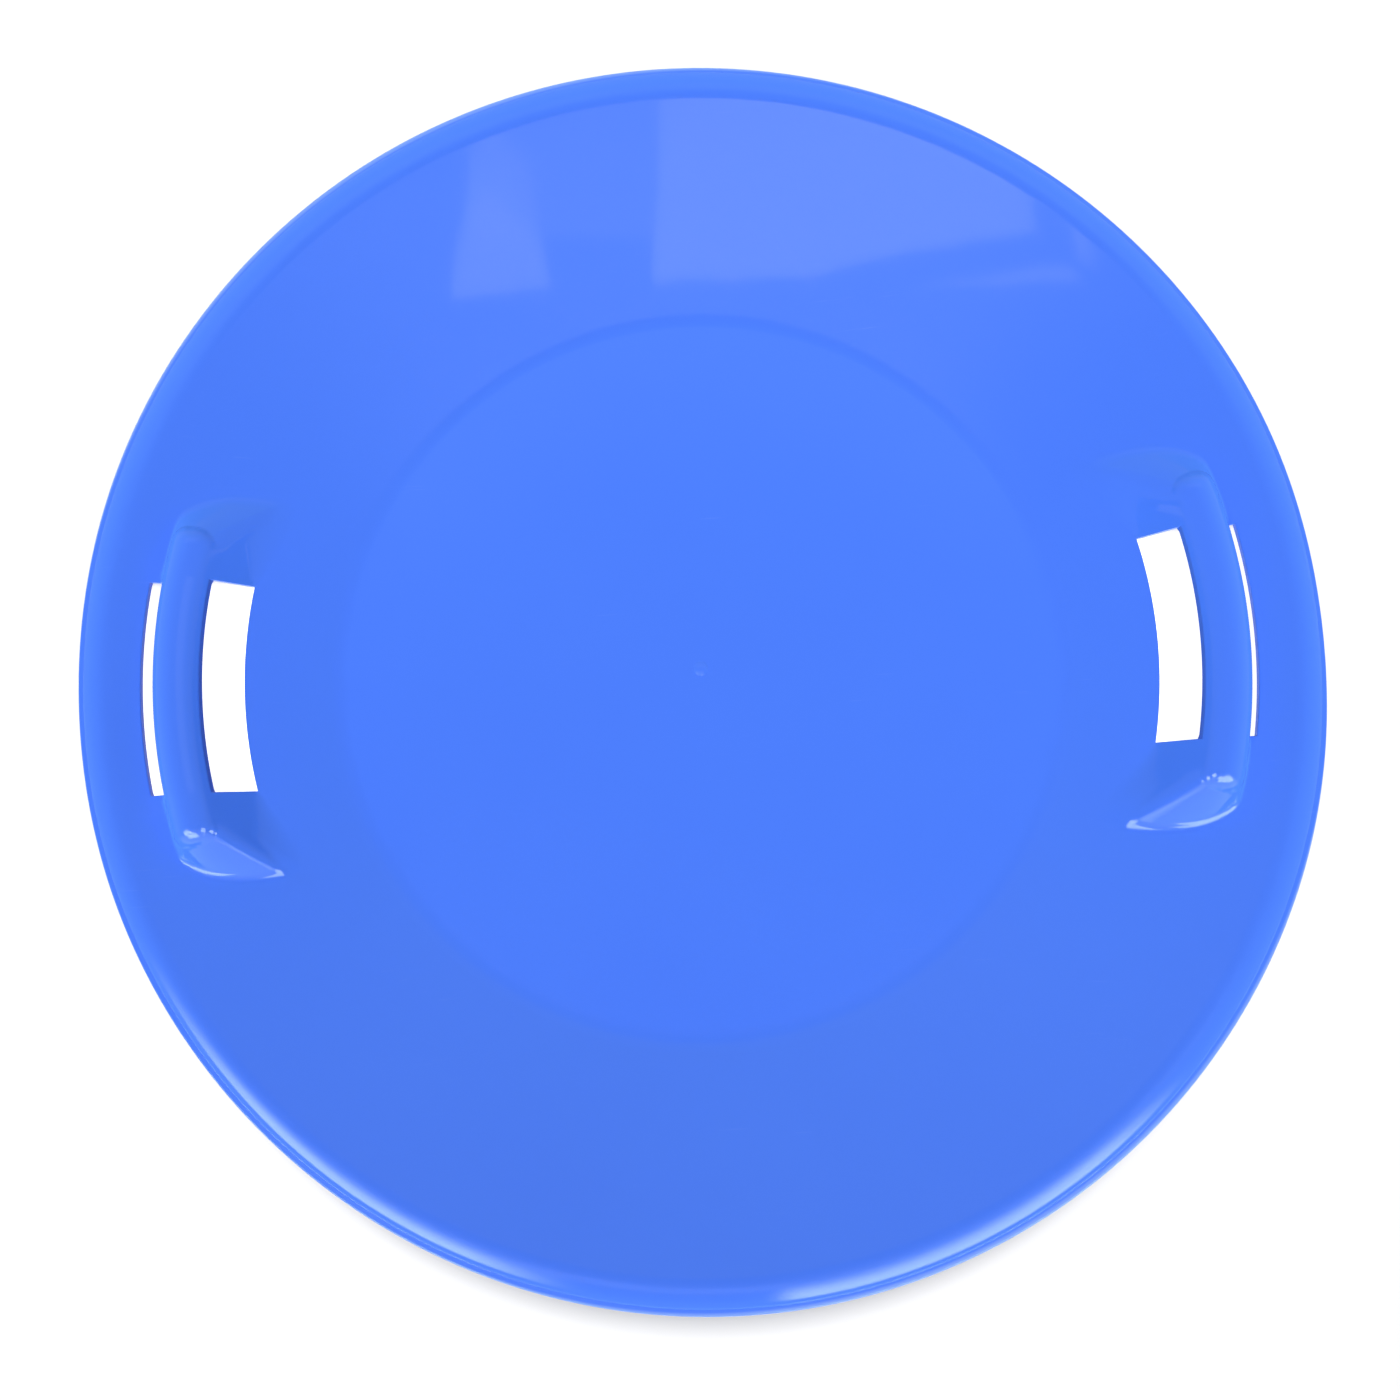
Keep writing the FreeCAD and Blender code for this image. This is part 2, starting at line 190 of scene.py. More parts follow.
def dish_section(r, depth):
    """Height of the turned section at radius r, at a depth of skin below the upper face.

    Flat floor, fold arc, straight wall, roll arc, fillet arc and flange, each tangent to the next.
    Arcs that curl up grow by the depth, and arcs that curl down shrink by it. On the upper face the
    brim's own slopes run from the roll's top to the flange.
    """
    fold = FOLD_RADIUS + depth
    roll = ROLL_RADIUS - depth
    fillet = FLANGE_FILLET + depth
    edge_arc = arc_above if depth == 0 else arc_below
    steps = (
        DISC_EDGE,
        DISC_EDGE + fold * math.sin(WALL_ANGLE),
        ROLL_CENTRE - roll * math.sin(WALL_ANGLE),
        ROLL_CENTRE + roll * math.sin(ROLL_ANGLE),
        FLANGE_START,
        EDGE_START,
    )
    heights = (
        np.full_like(r, SKIN - depth),
        arc_below(r, DISC_EDGE, FOLD_HEIGHT, fold),
        wall_height(r) - depth / math.cos(WALL_ANGLE),
        arc_above(r, ROLL_CENTRE, ROLL_HEIGHT, roll),
        arc_below(r, FLANGE_START, FILLET_HEIGHT, fillet),
        np.full_like(r, FLANGE_TOP - depth),
    )
    beyond = edge_arc(r, EDGE_START, EDGE_HEIGHT, EDGE_RADIUS)
    section = np.select([r <= step for step in steps], heights, beyond)
    if depth > 0:
        return section
    brim = ROLL_HEIGHT + ROLL_RADIUS - np.interp(r, BRIM_RADII, BRIM_DROP)
    return np.where((r > ROLL_CENTRE) & (r < BRIM_END), brim, section)


def wall_height(r):
    """Upper face of the straight wall at radius r."""
    return SKIN + (r - BASE_RADIUS) * WALL_SLOPE


def rim_set(s, x, y):
    """How far in a point of section radius s stands at a place (x, y) of the ground plan.

    The squared cosine of the angle from the diagonal and a bell along each grip, times a square rise to
    the rim's edge, and a level stretch along the slot times a hump over the slot's far edge.
    """
    rise = np.clip((s - GRIP_FAR) / (RIM_RADIUS - GRIP_FAR), 0, 1)
    # The least square of 1 only keeps the middle point from a division by 0.
    diagonal = (x * math.cos(OVAL_TURN) + y * math.sin(OVAL_TURN)) ** 2 / np.maximum(x**2 + y**2, 1)
    beside_grip = np.where(x > 0, *RIM_FLAT) * np.exp(-((y / RIM_FLAT_HALF) ** 2))
    hump = ramp(s, *OUTER_SLOT) * (1 - ramp(s, OUTER_SLOT[1], SLOT_SET_END))
    beside_slot = 1 - ramp(np.abs(y), SLOT_HALF, SLOT_HALF + SLOT_SET_FADE)
    return (OVAL * diagonal + beside_grip) * rise**2 + np.where(x > 0, *SLOT_SET) * beside_slot * hump


def section_radius(x, y):
    """Radius in the turned section of a point in the ground plan, found by repeated substitution."""
    r = np.hypot(x, y)
    s = r
    for _ in range(SET_ROUNDS):
        s = r + rim_set(s, x, y)
    return s


def tangent_slope(foot):
    """Slope of the line from a foot point on the wall that just touches the crown's circle."""
    across = BAR_RADIUS - foot
    up = CROWN_HEIGHT - wall_height(foot)
    lean = np.arcsin(BAR_HALF / np.hypot(across, up))
    return np.tan(np.arctan2(up, np.abs(across)) + lean) * np.sign(across)


OUTER_SLOPE = tangent_slope(OUTER_FOOT)


def flank_height(r, foot, slope, depth):
    """Straight flank of a grip from its foot on the wall, at a depth of skin below its upper face."""
    return wall_height(foot) + (r - foot) * slope - depth * np.hypot(1, slope)


def skirt_height(across, along, depth):
    """End skirt of a grip, a cone about the end's own axis, at a depth of skin below its upper face."""
    spread = np.hypot(across - END_ACROSS, np.maximum(along - END_REACH, 0))
    return CROWN_HEIGHT + (SKIRT_RADIUS - spread) * SKIRT_SLOPE - depth * math.hypot(1, SKIRT_SLOPE)


def crown_height(out, past, r, crown):
    """Half round of the bar on its arc, closed past the end by a rounded square, with a steep fall outside.

    A place past the end is given by its offset out from the bar's arc and its offset past the end.
    """
    rounded = (np.abs(out) ** END_POWER + np.maximum(past, 0) ** END_POWER) ** (1 / END_POWER)
    offset = np.where(past > 0, rounded, np.abs(r - BAR_RADIUS))
    return arc_above(offset, 0, CROWN_HEIGHT, crown) - CROWN_FALL * np.maximum(offset - crown, 0)


def grip_height(x, y, r, depth):
    """Height of a grip's ridge at a depth of skin below its upper face, and the fillet at its foot.

    Under the crown stands a boss, the lowest of two flanks that touch the crown, the end skirt and the
    level at which the crown takes over. Past the slots the foot of the inner flank fans out towards the
    middle of the dish, and its fillet there is wide.
    """
    across, along = np.abs(x), np.abs(y)
    out = (across - END_ACROSS) * math.cos(END_ANGLE) + (along - END_REACH) * math.sin(END_ANGLE)
    past = (along - END_REACH) * math.cos(END_ANGLE) - (across - END_ACROSS) * math.sin(END_ANGLE)
    crown = BAR_HALF - depth
    rib = crown_height(out, past, r, crown)
    foot = INNER_SLOT[0] - np.where(x > 0, *FOOT_SPREAD) * ramp(along, SLOT_HALF, SPREAD_END)
    slope = tangent_slope(foot)
    inner = flank_height(r, foot, slope, depth)
    outer = flank_height(r, OUTER_FOOT, OUTER_SLOPE, depth)
    skirt = skirt_height(across, along, depth)
    beyond = ramp(past, 0, BAR_HALF / 2)
    hip = smaller(smaller(inner, skirt, HIP_BLEND), outer, HIP_BLEND)
    flanks = beyond * hip + (1 - beyond) * np.minimum(inner, outer)
    touch = CROWN_HEIGHT + crown / np.hypot(1, slope)
    boss = np.minimum(flanks, touch)
    rounded = larger(rib, boss, LEAST_BLEND + TIP_BLEND * beyond)
    ridge = np.where(beyond > 0, rounded, np.maximum(rib, boss))
    flank_share = ramp(skirt - inner, 0, FLANK_BLEND) * ramp(along, SLOT_HALF, SLOT_HALF + FLANK_FADE)
    return ridge, FOOT_BLEND + (FLANK_BLEND - FOOT_BLEND) * flank_share


def slot_distance(r, along):
    """Distance in the ground plan to the nearer of the two slots of a grip, 0 inside them."""
    past_end = np.maximum(along - SLOT_HALF, 0)
    near, far = (
        np.hypot(np.maximum(np.maximum(slot[0] - r, r - slot[1]), 0), past_end)
        for slot in (INNER_SLOT, OUTER_SLOT)
    )
    return np.minimum(near, far)


def edge_rounding(distance):
    """Drop of a face towards a slot's edge: a quarter circle of the rounding's radius."""
    short = np.maximum(SLOT_ROUNDING - distance, 0)
    return SLOT_ROUNDING - np.sqrt(np.maximum(SLOT_ROUNDING**2 - short**2, 0))


def face_height(x, y, depth):
    """Height of the whole moulding over the ground plan, at a depth of skin below the upper face."""
    r = section_radius(x, y)
    along = np.abs(y)
    dish = dish_section(r, depth)
    if depth == 0:
        mark = arc_above(r, 0, SKIN + GATE_HEIGHT - GATE_SPHERE, GATE_SPHERE)
        dish = np.where(r < GATE_RADIUS, np.maximum(dish, mark), dish)
    ridge, fillet = grip_height(x, y, r, depth)
    shoulder = ramp(along, SLOT_HALF, SLOT_HALF + FILLET_FADE)
    blended = larger(ridge, dish, LEAST_BLEND + fillet * shoulder)
    on_bar = (along < SLOT_HALF) & (r > INNER_SLOT[1] - BAR_MARGIN) & (r < OUTER_SLOT[0] + BAR_MARGIN)
    bar = ridge if depth == 0 else np.maximum(ridge, LIP_HEIGHT)
    band = (r > GRIP_BAND[0]) & (r < GRIP_BAND[1]) & (along < SECTOR_HALF)
    height = np.where(band, np.where(on_bar, bar, blended), dish)
    drop = edge_rounding(slot_distance(r, along)) * band
    return height - drop if depth == 0 else height + drop


def face_normals(x, y, depth):
    """Unit normals of the upper face, or of the underside turned downwards, by central differences."""
    step = GRADIENT_STEP
    slope_x = (face_height(x + step, y, depth) - face_height(x - step, y, depth)) / (2 * step)
    slope_y = (face_height(x, y + step, depth) - face_height(x, y - step, depth)) / (2 * step)
    normal = np.stack([-slope_x, -slope_y, np.ones_like(x)], axis=-1)
    normal /= np.linalg.norm(normal, axis=-1, keepdims=True)
    return normal if depth == 0 else -normal


def chain(*runs):
    """One rising list of values from runs of (start, end, cells), each starting where the last ended."""
    values = [np.linspace(start, end, cells, endpoint=False) for start, end, cells in runs]
    return np.concatenate(values + [[runs[-1][1]]])


def row_radii():
    """Radii of the grid's rows, closer together where the section bends and where the grips stand."""
    round_off = SLOT_ROUNDING
    flat = chain(
        (0, GATE_RADIUS - GATE_EDGE, 8),
        (GATE_RADIUS - GATE_EDGE, GATE_RADIUS + GATE_EDGE, 2),
        (GATE_RADIUS + GATE_EDGE, DISC_EDGE, 14),
        (DISC_EDGE, FOLD_END, 10),
        (FOLD_END, GRIP_NEAR, 12),
        (GRIP_NEAR, INNER_SLOT[0] - round_off, 9),
        (INNER_SLOT[0] - round_off, INNER_SLOT[0], 4),
        (INNER_SLOT[0], INNER_SLOT[1], 14),
        (INNER_SLOT[1], INNER_SLOT[1] + round_off, 4),
        (INNER_SLOT[1] + round_off, OUTER_SLOT[0] - round_off, 28),
        (OUTER_SLOT[0] - round_off, OUTER_SLOT[0], 4),
        (OUTER_SLOT[0], OUTER_SLOT[1], 7),
        (OUTER_SLOT[1], OUTER_SLOT[1] + round_off, 4),
        (OUTER_SLOT[1] + round_off, GRIP_FAR, 2),
        (GRIP_FAR, WALL_END, 8),
    )
    roll = ROLL_CENTRE + ROLL_RADIUS * np.sin(np.linspace(-WALL_ANGLE, 0, ROLL_ROWS))
    groove_start, groove_middle, groove_end = GROOVE_ROWS
    brim = chain(
        (ROLL_CENTRE, BRIM_BEND, 5),
        (BRIM_BEND, groove_start, 8),
        (groove_start, groove_middle, 8),
        (groove_middle, groove_end, 3),
        (groove_end, BRIM_END, 8),
        (BRIM_END, EDGE_START, 2),
    )
    return np.concatenate([flat[:-1], roll[:-1], brim])


def grip_columns():
    """Places along a grip of the grid's columns, which run straight across the slots."""
    end = SLOT_HALF + SLOT_ROUNDING
    half = chain(
        (0, SLOT_HALF, 28),
        (SLOT_HALF, end, 4),
        (end, SHOULDER_HALF, 60),
        (SHOULDER_HALF, SECTOR_HALF, 10),
    )
    return np.concatenate([-half[:0:-1], half[:-1]])


def grid_plan(radii):
    """Angles of the grid's points, one row per radius.

    A column over a grip keeps its place along the grip between the grip's inner and outer radius, and
    runs straight to the middle and out to the rim. Columns between the grips share out the angle left.
    """
    along = grip_columns()
    share = np.arange(SECTOR_CELLS) / SECTOR_CELLS
    zeros, ones = np.zeros_like(along), np.ones_like(along)
    place = np.concatenate([along, 0 * share, along, 0 * share])
    turn = np.concatenate([zeros, share * math.pi, math.pi * ones, math.pi + share * math.pi])
    edge = np.concatenate([zeros, 1 - 2 * share, zeros, 1 - 2 * share])
    reach = np.clip(radii, GRIP_NEAR, GRIP_FAR)[:, None]
    return turn + edge * np.arcsin(SECTOR_HALF / reach) + np.arcsin(place / reach)


def rounded_edge(cosine, sine):
    """Points and normals of the rim's edge, a half circle in section from upper face to underside."""
    lean = np.linspace(math.pi / 2, -math.pi / 2, EDGE_CELLS + 1)[1:, None]
    out, up = np.cos(lean), np.sin(lean)
    reach = EDGE_START + EDGE_RADIUS * out
    reach = reach - rim_set(reach, reach * cosine, reach * sine)
    rise = EDGE_HEIGHT + EDGE_RADIUS * up + 0 * reach
    points = np.stack([reach * cosine, reach * sine, rise], axis=-1)
    normals = np.stack([out * cosine, out * sine, up + 0 * reach], axis=-1)
    return points, normals


def point_ids(points, first):
    """Numbers of a face's points, counted on from first, with one number for the row at the middle."""
    ids = first + np.arange(points.shape[0] * points.shape[1]).reshape(points.shape[:2])
    ids[0] = first
    return ids


class Moulding:
    """Points and normals of both faces on the grid, and the place of every cell.

    The upper face goes on round the rim's edge and ends in the underside's last row.
    """

    def __init__(self):
        radii = row_radii()
        angles = grid_plan(radii)
        cosine, sine = np.cos(angles), np.sin(angles)
        round_radii = radii[:, None]
        reach = round_radii - rim_set(round_radii, round_radii * cosine, round_radii * sine)
        x, y = reach * cosine, reach * sine
        edge, edge_normal = rounded_edge(cosine[-1], sine[-1])
        upper = np.concatenate([np.stack([x, y, face_height(x, y, 0)], axis=-1), edge])
        under = np.stack([x, y, face_height(x, y, SKIN)], axis=-1)
        self.rows = len(radii)
        self.points = np.concatenate([upper.reshape(-1, 3), under.reshape(-1, 3)])
        self.upper_normal = np.concatenate([face_normals(x, y, 0), edge_normal])
        self.under_normal = face_normals(x, y, SKIN)
        self.upper_ids = point_ids(upper, 0)
        self.under_ids = point_ids(under, self.upper_ids.size)
        self.under_ids[-1] = self.upper_ids[-1]
        middle = (upper[:-1] + upper[1:]) / 2
        middle = (middle + np.roll(middle, -1, axis=1)) / 2
        self.side = np.sign(middle[..., 0])
        self.along = middle[..., 1]
        cell_radii = np.concatenate([(radii[:-1] + radii[1:]) / 2, np.full(EDGE_CELLS, RIM_RADIUS)])
        self.radius = np.repeat(cell_radii[:, None], middle.shape[1], axis=1)


def corners(table, cells, steps):
    """Entries of a table of grid points at the given (row, column) steps from each cell in the mask."""
    row, column = np.nonzero(cells)
    width = table.shape[1]
    return np.stack([table[row + down, (column + right) % width] for down, right in steps], axis=1)


def closed_block(moulding, cells):
    """Faces and corner normals of a block of cells: upper face, underside and upright borders.

    A border stands between the two faces wherever the next cell isn't in the block. The faces have the
    moulding's own normals, so blocks that meet show no seam, and the borders have flat ones.
    """
    full = cells[: moulding.rows - 1]
    up, low = moulding.upper_ids, moulding.under_ids
    turn = ((0, 0), (1, 0), (1, 1), (0, 1))
    faces = [corners(up, cells, turn), corners(low, full, turn[::-1])]
    normals = [
        corners(moulding.upper_normal, cells, turn),
        corners(moulding.under_normal, full, turn[::-1]),
    ]
    inside = np.zeros_like(full[:1])
    beyond = cells[moulding.rows - 1 : moulding.rows]
    borders = (
        (full & ~np.concatenate([inside, full[:-1]]), ((0, 0), (0, 1))),
        (full & ~np.concatenate([full[1:], beyond]), ((1, 1), (1, 0))),
        (full & ~np.roll(full, 1, axis=1), ((1, 0), (0, 0))),
        (full & ~np.roll(full, -1, axis=1), ((0, 1), (1, 1))),
    )
    for mask, (first, second) in borders:
        # The first row of cells starts from the middle point, where no border stands.
        mask[0] &= first[0] + second[0] != 0
        above = corners(up, mask, (first, second))
        below = corners(low, mask, (second, first))
        quad = np.concatenate([above, below], axis=1)
        at = moulding.points[quad]
        flat = np.cross(at[:, 2] - at[:, 0], at[:, 3] - at[:, 1])
        flat /= np.maximum(np.linalg.norm(flat, axis=1, keepdims=True), TINY)
        faces.append(quad)
        normals.append(np.repeat(flat[:, None], 4, axis=1))
    return np.concatenate(faces), np.concatenate(normals)


def block_mesh(name, moulding, cells):
    """Mesh of a block of cells, with the cells round the middle point made triangles."""
    quads, normals = closed_block(moulding, cells)
    pole = (quads[:, 0] == quads[:, 3]) | (quads[:, 0] == quads[:, 1])
    used, compact = np.unique(quads, return_inverse=True)
    quads = compact.reshape(quads.shape)
    keep = np.array([1, 2, 3])
    faces = quads[~pole].tolist() + quads[pole][:, keep].tolist()
    corner_normals = np.concatenate(
        [normals[~pole].reshape(-1, 3), normals[pole][:, keep].reshape(-1, 3)]
    )
    mesh = bpy.data.meshes.new(name)
    mesh.from_pydata((moulding.points[used] * MM).tolist(), [], faces)
    mesh.polygons.foreach_set("use_smooth", np.ones(len(faces), dtype=bool))
    mesh.update()
    mesh.normals_split_custom_set(corner_normals.tolist())
    return mesh


def piece_cells(moulding):
    """Name of every piece with its mask of cells and the CAD node that it stands for."""
    radius, along = moulding.radius, moulding.along
    disc = radius < FOLD_END
    rim = radius > WALL_END
    taken = disc | rim
    found = [("floor_pan", disc, "base_disc"), ("rim_roll", rim, "rolled_rim")]
    over_slots = np.abs(along) < SLOT_HALF
    over_ends = (np.abs(along) < SHOULDER_HALF) & ~over_slots
    for side_name, side in (("right", 1), ("left", -1)):
        here = moulding.side == side
        bar = here & over_slots & (radius > INNER_SLOT[1]) & (radius < OUTER_SLOT[0])
        gap = here & over_slots & (radius > INNER_SLOT[0]) & (radius < OUTER_SLOT[1])
        taken = taken | gap
        found.append((f"{side_name}_bar", bar, f"{side_name}_grip_bar"))
        beside = here & over_ends & (radius > GRIP_NEAR) & (radius < GRIP_FAR)
        for end_name, end in (("front", 1), ("rear", -1)):
            cells = beside & (along * end > 0)
            taken = taken | cells
            found.append((f"{side_name}_{end_name}_end", cells, f"{side_name}_{end_name}_shoulder"))
    found.append(("dish_wall", ~taken, "flared_wall"))
    return found


def node(tree, kind, settings=(), links=()):
    """New shader node with its settings and inputs filled, and links made to its inputs."""
    made = tree.nodes.new(kind)
    for key, value in dict(settings).items():
        if isinstance(key, str) and hasattr(made, key):
            setattr(made, key, value)
        else:
            made.inputs[key].default_value = value
    for key, source in dict(links).items():
        tree.links.new(source, made.inputs[key])
    return made


def noise(tree, place, settings):
    """Noise at a place."""
    return node(tree, "ShaderNodeTexNoise", settings, {"Vector": place}).outputs["Fac"]


def ranged(tree, value, settings):
    """Value carried from one range to another and held at its ends."""
    return node(tree, "ShaderNodeMapRange", settings, {"Value": value}).outputs["Result"]


def faded(tree, value, start, end):
    """Smooth step of a value from 0 at start to 1 at end."""
    return ranged(tree, value, {"interpolation_type": "SMOOTHSTEP", "From Min": start, "From Max": end})


def combined(tree, operation, first, second):
    """Result of a named operation on two values."""
    return node(tree, "ShaderNodeMath", {"operation": operation}, {0: first, 1: second}).outputs["Value"]


def vector_length(tree, vector):
    """Length of a vector."""
    return node(tree, "ShaderNodeVectorMath", {"operation": "LENGTH"}, {0: vector}).outputs["Value"]


# Plastic: its colours, the drift of its pigment, its wear with a painted highlight band on the rim's edge,
# and its orange peel.
PLASTIC_DEEP = (0.081, 0.254, 0.960, 1)
PLASTIC_LIGHT = (0.088, 0.271, 0.976, 1)
# Paler blue of the scuffs, and of the painted highlight band on the rim's outer edge.
SCUFF_AND_HIGHLIGHT_TINT = (0.27, 0.46, 0.98, 1)
PIGMENT_NOISE = {"Scale": 7.0, "Detail": 4.0, "Roughness": 0.6}
STREAK_STRETCH = {"Rotation": (0, 0, 0.5), "Scale": (30, 700, 30)}
STREAK_NOISE = {"Scale": 1.0, "Detail": 2.0}
STREAK_RANGE = {"From Min": 0.68, "From Max": 0.80, "To Max": 0.3}
PATCH_NOISE = {"Scale": 16.0, "Detail": 2.0}
PATCH_RANGE = {"From Min": 0.55, "From Max": 0.75}
# Pale band round the rim's outer edge, on the flange: partly wear, partly a painted highlight.
RIM_WEAR_AND_HIGHLIGHT = {"From Min": 0.3217, "From Max": 0.3229, "To Max": 0.8}
GLOSS_RANGE = {"To Min": 0.05, "To Max": 0.22}
PEEL_NOISE = {"Scale": 420.0, "Detail": 2.0}
PEEL_RELIEF = {"Strength": 0.03, "Distance": 0.0002}
PLASTIC_SHINE = {"IOR": 1.5, "Specular IOR Level": 0.3, "Diffuse Roughness": 1.0}

# Numbers of a colour mix node's two colour inputs and of its colour output.
MIX_FIRST, MIX_SECOND, MIX_RESULT = 6, 7, 2


def plastic_wear_and_highlight(tree, place):
    """Share of wear and painted highlight: faint scuffs, which are fine streaks in patches, and a pale band
    on the rim's outer edge, partly wear and partly a painted highlight.
    """
    stretched = node(tree, "ShaderNodeMapping", STREAK_STRETCH, {"Vector": place}).outputs["Vector"]
    streaks = ranged(tree, noise(tree, stretched, STREAK_NOISE), STREAK_RANGE)
    patches = ranged(tree, noise(tree, place, PATCH_NOISE), PATCH_RANGE)
    scuffs = combined(tree, "MULTIPLY", patches, streaks)
    level = node(tree, "ShaderNodeVectorMath", {"operation": "MULTIPLY", 1: (1, 1, 0)}, {0: place})
    # Pale band round the rim's outer edge: partly wear, partly a painted highlight on the flange.
    rim = ranged(tree, vector_length(tree, level.outputs["Vector"]), RIM_WEAR_AND_HIGHLIGHT)
    return combined(tree, "MAXIMUM", scuffs, rim)


def moulded_plastic():
    """Glossy blue plastic with drifting pigment and fine orange peel, paler and duller where it is worn and
    along the rim's outer edge, whose pale band is partly a painted highlight.
    """
    material = bpy.data.materials.new("blue_moulded_plastic")
    material.use_nodes = True
    tree = material.node_tree
    shader = tree.nodes["Principled BSDF"]
    place = node(tree, "ShaderNodeTexCoord").outputs["Object"]
    wear_and_highlight = plastic_wear_and_highlight(tree, place)
    pigment = node(
        tree,
        "ShaderNodeMix",
        {"data_type": "RGBA", MIX_FIRST: PLASTIC_DEEP, MIX_SECOND: PLASTIC_LIGHT},
        {0: noise(tree, place, PIGMENT_NOISE)},
    )
    colour = node(
        tree,
        "ShaderNodeMix",
        {"data_type": "RGBA", MIX_SECOND: SCUFF_AND_HIGHLIGHT_TINT},
        {0: wear_and_highlight, MIX_FIRST: pigment.outputs[MIX_RESULT]},
    )
    relief = node(tree, "ShaderNodeBump", PEEL_RELIEF, {"Height": noise(tree, place, PEEL_NOISE)})
    tree.links.new(colour.outputs[MIX_RESULT], shader.inputs["Base Color"])
    tree.links.new(ranged(tree, wear_and_highlight, GLOSS_RANGE), shader.inputs["Roughness"])
    tree.links.new(relief.outputs["Normal"], shader.inputs["Normal"])
    for key, value in PLASTIC_SHINE.items():
        shader.inputs[key].default_value = value
    return material


def add_object(name, data):
    """New object at the origin, linked to the scene."""
    made = bpy.data.objects.new(name, data)
    bpy.context.scene.collection.objects.link(made)
    return made


def dress_sled():
    """Builds every piece of the moulding in place of its CAD node, and returns the pieces by name."""
    moulding = Moulding()
    plastic = moulded_plastic()
    pieces = {}
    for name, cells, cad_node in piece_cells(moulding):
        mesh = block_mesh(name, moulding, cells)
        mesh.materials.append(plastic)
        piece = add_object(name, mesh)
        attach(piece, "root")
        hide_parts(cad_node)
        pieces[name] = piece
    return pieces


# Studio. Places are in metres and turns in degrees. A level of 1 is white.
WHITE = (1, 1, 1, 1)
COOL_WHITE = (0.84, 1, 1, 1)
WORLD_LEVEL = 0.17
WORLD_SEEN = 0.5

# Floor: its glow near the sled, the glow added in a patch under each grip's slots, between two pairs of
# radii and up to a distance along the grip, and the glow added far off.
FLOOR_HALF = 12.0
FLOOR_GREY = (0.50, 0.50, 0.50, 1)
FLOOR_GLOW = 0.16
SLOT_LIGHT = 0.90
PATCH_INNER = (0.244, 0.254)
PATCH_OUTER = (0.326, 0.314)
PATCH_ALONG = (0.074, 0.060)
FAR_GLOW = 0.76
FAR_REACH = (0.7, 5.0)

# Lamps: place, width, and the level of light at the sled's middle.
MAIN_LAMP = ((-0.36, -1.35, 3.80), 2.4, 0.94)
FLOOR_LAMP = ((0.05, 1.15, 2.60), 0.5, 0.95)


def seen_directly(tree):
    """1 for camera, glossy and transmission rays, and 0 for the rest."""
    rays = node(tree, "ShaderNodeLightPath").outputs
    seen = combined(tree, "MAXIMUM", rays["Is Camera Ray"], rays["Is Glossy Ray"])
    return combined(tree, "MAXIMUM", seen, rays["Is Transmission Ray"])


def floor_glow(tree):
    """Strength of the floor's glow.

    It is more in a soft patch under each grip, where light comes through the slots, and far from the
    sled, where the lamps' light falls off.
    """
    place = node(tree, "ShaderNodeTexCoord").outputs["Object"]
    radius = vector_length(tree, place)
    along = node(tree, "ShaderNodeSeparateXYZ", (), {0: place}).outputs["Y"]
    along = node(tree, "ShaderNodeMath", {"operation": "ABSOLUTE"}, {0: along}).outputs["Value"]
    band = combined(tree, "MULTIPLY", faded(tree, radius, *PATCH_INNER), faded(tree, radius, *PATCH_OUTER))
    patch = combined(tree, "MULTIPLY", band, faded(tree, along, *PATCH_ALONG))
    near = ranged(tree, patch, {"To Min": FLOOR_GLOW, "To Max": FLOOR_GLOW + SLOT_LIGHT})
    far = faded(tree, radius, *FAR_REACH)
    settings = {"operation": "MULTIPLY_ADD", 1: FAR_GLOW}
    return node(tree, "ShaderNodeMath", settings, {0: far, 2: near}).outputs["Value"]


def bare_material(name):
    """New material without any node."""
    material = bpy.data.materials.new(name)
    material.use_nodes = True
    material.node_tree.nodes.clear()
    return material


def show_sum(tree, first, second):
    """Makes a material show two shaders added together."""
    both = node(tree, "ShaderNodeAddShader", (), {0: first.outputs[0], 1: second.outputs[0]})
    node(tree, "ShaderNodeOutputMaterial", (), {"Surface": both.outputs[0]})


def studio_floor():
    """Level floor under the sled: grey to the light, and white with a soft shadow to the eye."""
    half = FLOOR_HALF
    mesh = bpy.data.meshes.new("studio_floor")
    plan = [(-half, -half, 0), (half, -half, 0), (half, half, 0), (-half, half, 0)]
    mesh.from_pydata(plan, [], [(0, 1, 2, 3)])
    floor = add_object("studio_floor", mesh)
    material = bare_material("pale_floor")
    tree = material.node_tree
    pale = node(tree, "ShaderNodeBsdfDiffuse", {"Color": FLOOR_GREY})
    strength = combined(tree, "MULTIPLY", seen_directly(tree), floor_glow(tree))
    glow = node(tree, "ShaderNodeEmission", (), {"Strength": strength})
    show_sum(tree, pale, glow)
    mesh.materials.append(material)
    return floor


def pale_world():
    """Even surroundings: dim as a light, and pale to the eye and in reflections."""
    world = bpy.data.worlds.new("pale_studio")
    bpy.context.scene.world = world
    world.use_nodes = True
    tree = world.node_tree
    background = tree.nodes["Background"]
    background.inputs["Color"].default_value = WHITE
    level = ranged(tree, seen_directly(tree), {"To Min": WORLD_LEVEL, "To Max": WORLD_SEEN})
    tree.links.new(level, background.inputs["Strength"])


def placed(right, above, back, eye):
    """4 by 4 placing of an object from its three axes and its origin."""
    matrix = np.identity(4)
    matrix[:3, 0], matrix[:3, 1], matrix[:3, 2], matrix[:3, 3] = right, above, back, eye
    return Matrix(matrix.tolist())


def light_only(source, receivers):
    """Lets a lamp or a card light the given objects alone."""
    lit = bpy.data.collections.new(f"lit_by_{source.name}")
    for receiver in receivers:
        lit.objects.link(receiver)
    source.light_linking.receiver_collection = lit


